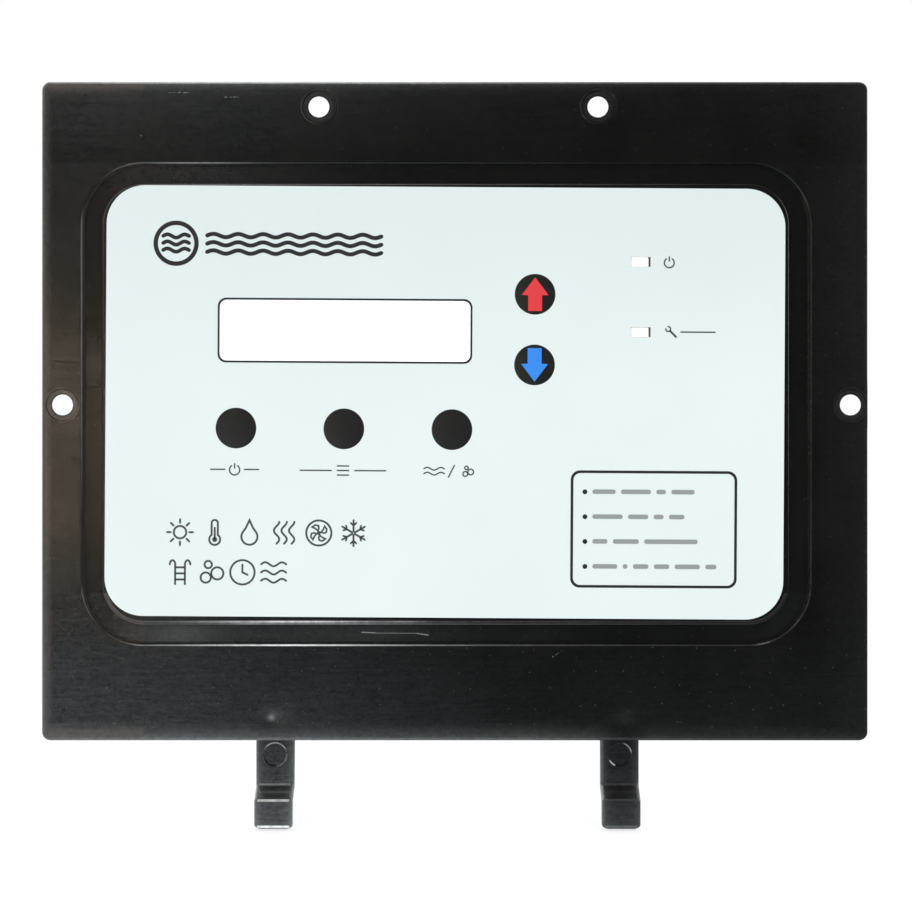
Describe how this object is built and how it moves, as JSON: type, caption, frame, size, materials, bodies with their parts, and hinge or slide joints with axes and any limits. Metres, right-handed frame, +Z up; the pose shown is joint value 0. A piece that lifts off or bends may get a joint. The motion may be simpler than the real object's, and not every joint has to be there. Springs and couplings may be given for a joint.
{
  "type": "heat pump control panel",
  "caption": "Moulded control panel with a grooved flange, printed film, round push keys, text display, status lamps, rear control board and two joggled hooks.",
  "frame": {"origin": "midpoint between the two side screw holes on the flange's back face, the plane that rests on the cabinet", "axes": "+X to the right and +Z up as seen from the front; the front faces -Y, and hooks and electronics reach towards +Y, inside the cabinet"},
  "size_m": [0.2112, 0.0376, 0.1922],
  "materials": {
    "bezel_plastic": "moulded, semi-gloss, faint flow lines",
    "film": "printed polyester film, fine matte",
    "key_film": "printed polyester film, crowned",
    "lens": "clear acrylic",
    "black_frame": "satin black sheet steel",
    "lcd_glass": "polarised display glass, pale",
    "light_guide": "white diffuser",
    "elastomer": "layered conductive rubber",
    "solder_mask": "green solder mask over glass-fibre laminate",
    "chip_epoxy": "moulded epoxy",
    "black_nylon": "moulded, matte",
    "white_nylon": "moulded, natural white",
    "green_nylon": "moulded, matte green",
    "gold_pins": "gold flash",
    "zinc_steel": "bright zinc plated",
    "tinned_steel": "tin plated",
    "tinned_brass": "tin plated",
    "lamp_milk": "milky diffused epoxy",
    "relay_case": "glossy case",
    "can_sleeve": "shrink sleeve over aluminium can",
    "black_aluminium": "black anodised",
    "fuse_violet": "translucent violet",
    "trimmer_blue": "moulded blue"
  },
  "bodies": {
    "panel": {"bezel": "bezel_plastic", "graphic_overlay": "film", "display_lens": "lens", "lcd_frame": "black_frame", "lcd_glass": "lcd_glass", "lcd_backlight": "light_guide", "lcd_contact_strips": "elastomer", "lcd_board": "solder_mask", "lcd_driver_chips": "chip_epoxy", "lcd_header": "black_nylon", "lcd_header_pins": "gold_pins", "lcd_spacers": "white_nylon", "lcd_screws": "zinc_steel", "lcd_nuts": "zinc_steel", "control_board": "solder_mask", "board_screws": "zinc_steel", "switch_bases": "black_nylon", "switch_covers": "tinned_steel", "switch_domes": "tinned_steel", "lamp_on": "lamp_milk", "lamp_service": "lamp_milk", "lamp_spacers": "black_nylon", "lamp_leads": "tinned_steel", "microcontroller": "chip_epoxy", "relay_driver": "chip_epoxy", "crystal": "tinned_steel", "relays": "relay_case", "spade_tabs": "tinned_brass", "capacitors": "can_sleeve", "rectifier_diodes": "chip_epoxy", "regulator": "chip_epoxy", "heat_sink": "black_aluminium", "sensor_headers": "white_nylon", "terminal_header": "green_nylon", "terminal_pins": "tinned_brass", "fuse_holder": "black_nylon", "fuse": "fuse_violet", "trimmer_body": "trimmer_blue"},
    "key_body_on_off": {"key_on_off": "key_film", "stem_on_off": "black_nylon"},
    "key_body_menu": {"key_menu": "key_film", "stem_menu": "black_nylon"},
    "key_body_pool_spa": {"key_pool_spa": "key_film", "stem_pool_spa": "black_nylon"},
    "key_body_up": {"key_up": "key_film", "stem_up": "black_nylon"},
    "key_body_down": {"key_down": "key_film", "stem_down": "black_nylon"},
    "trimmer": {"trimmer_rotor": "white_nylon"}
  },
  "joints": [
    {"name": "press_on_off", "type": "slide", "parent": "panel", "child": "key_body_on_off", "axis": [0, 1, 0], "range_m": [0, 0.0003]},
    {"name": "press_menu", "type": "slide", "parent": "panel", "child": "key_body_menu", "axis": [0, 1, 0], "range_m": [0, 0.0003]},
    {"name": "press_pool_spa", "type": "slide", "parent": "panel", "child": "key_body_pool_spa", "axis": [0, 1, 0], "range_m": [0, 0.0003]},
    {"name": "press_up", "type": "slide", "parent": "panel", "child": "key_body_up", "axis": [0, 1, 0], "range_m": [0, 0.0003]},
    {"name": "press_down", "type": "slide", "parent": "panel", "child": "key_body_down", "axis": [0, 1, 0], "range_m": [0, 0.0003]},
    {"name": "trimmer_turn", "type": "hinge", "parent": "panel", "child": "trimmer", "pos_m": [0.026, 0.017, -0.01], "axis": [0, 1, 0], "range_deg": [-130, 130]}
  ]
}
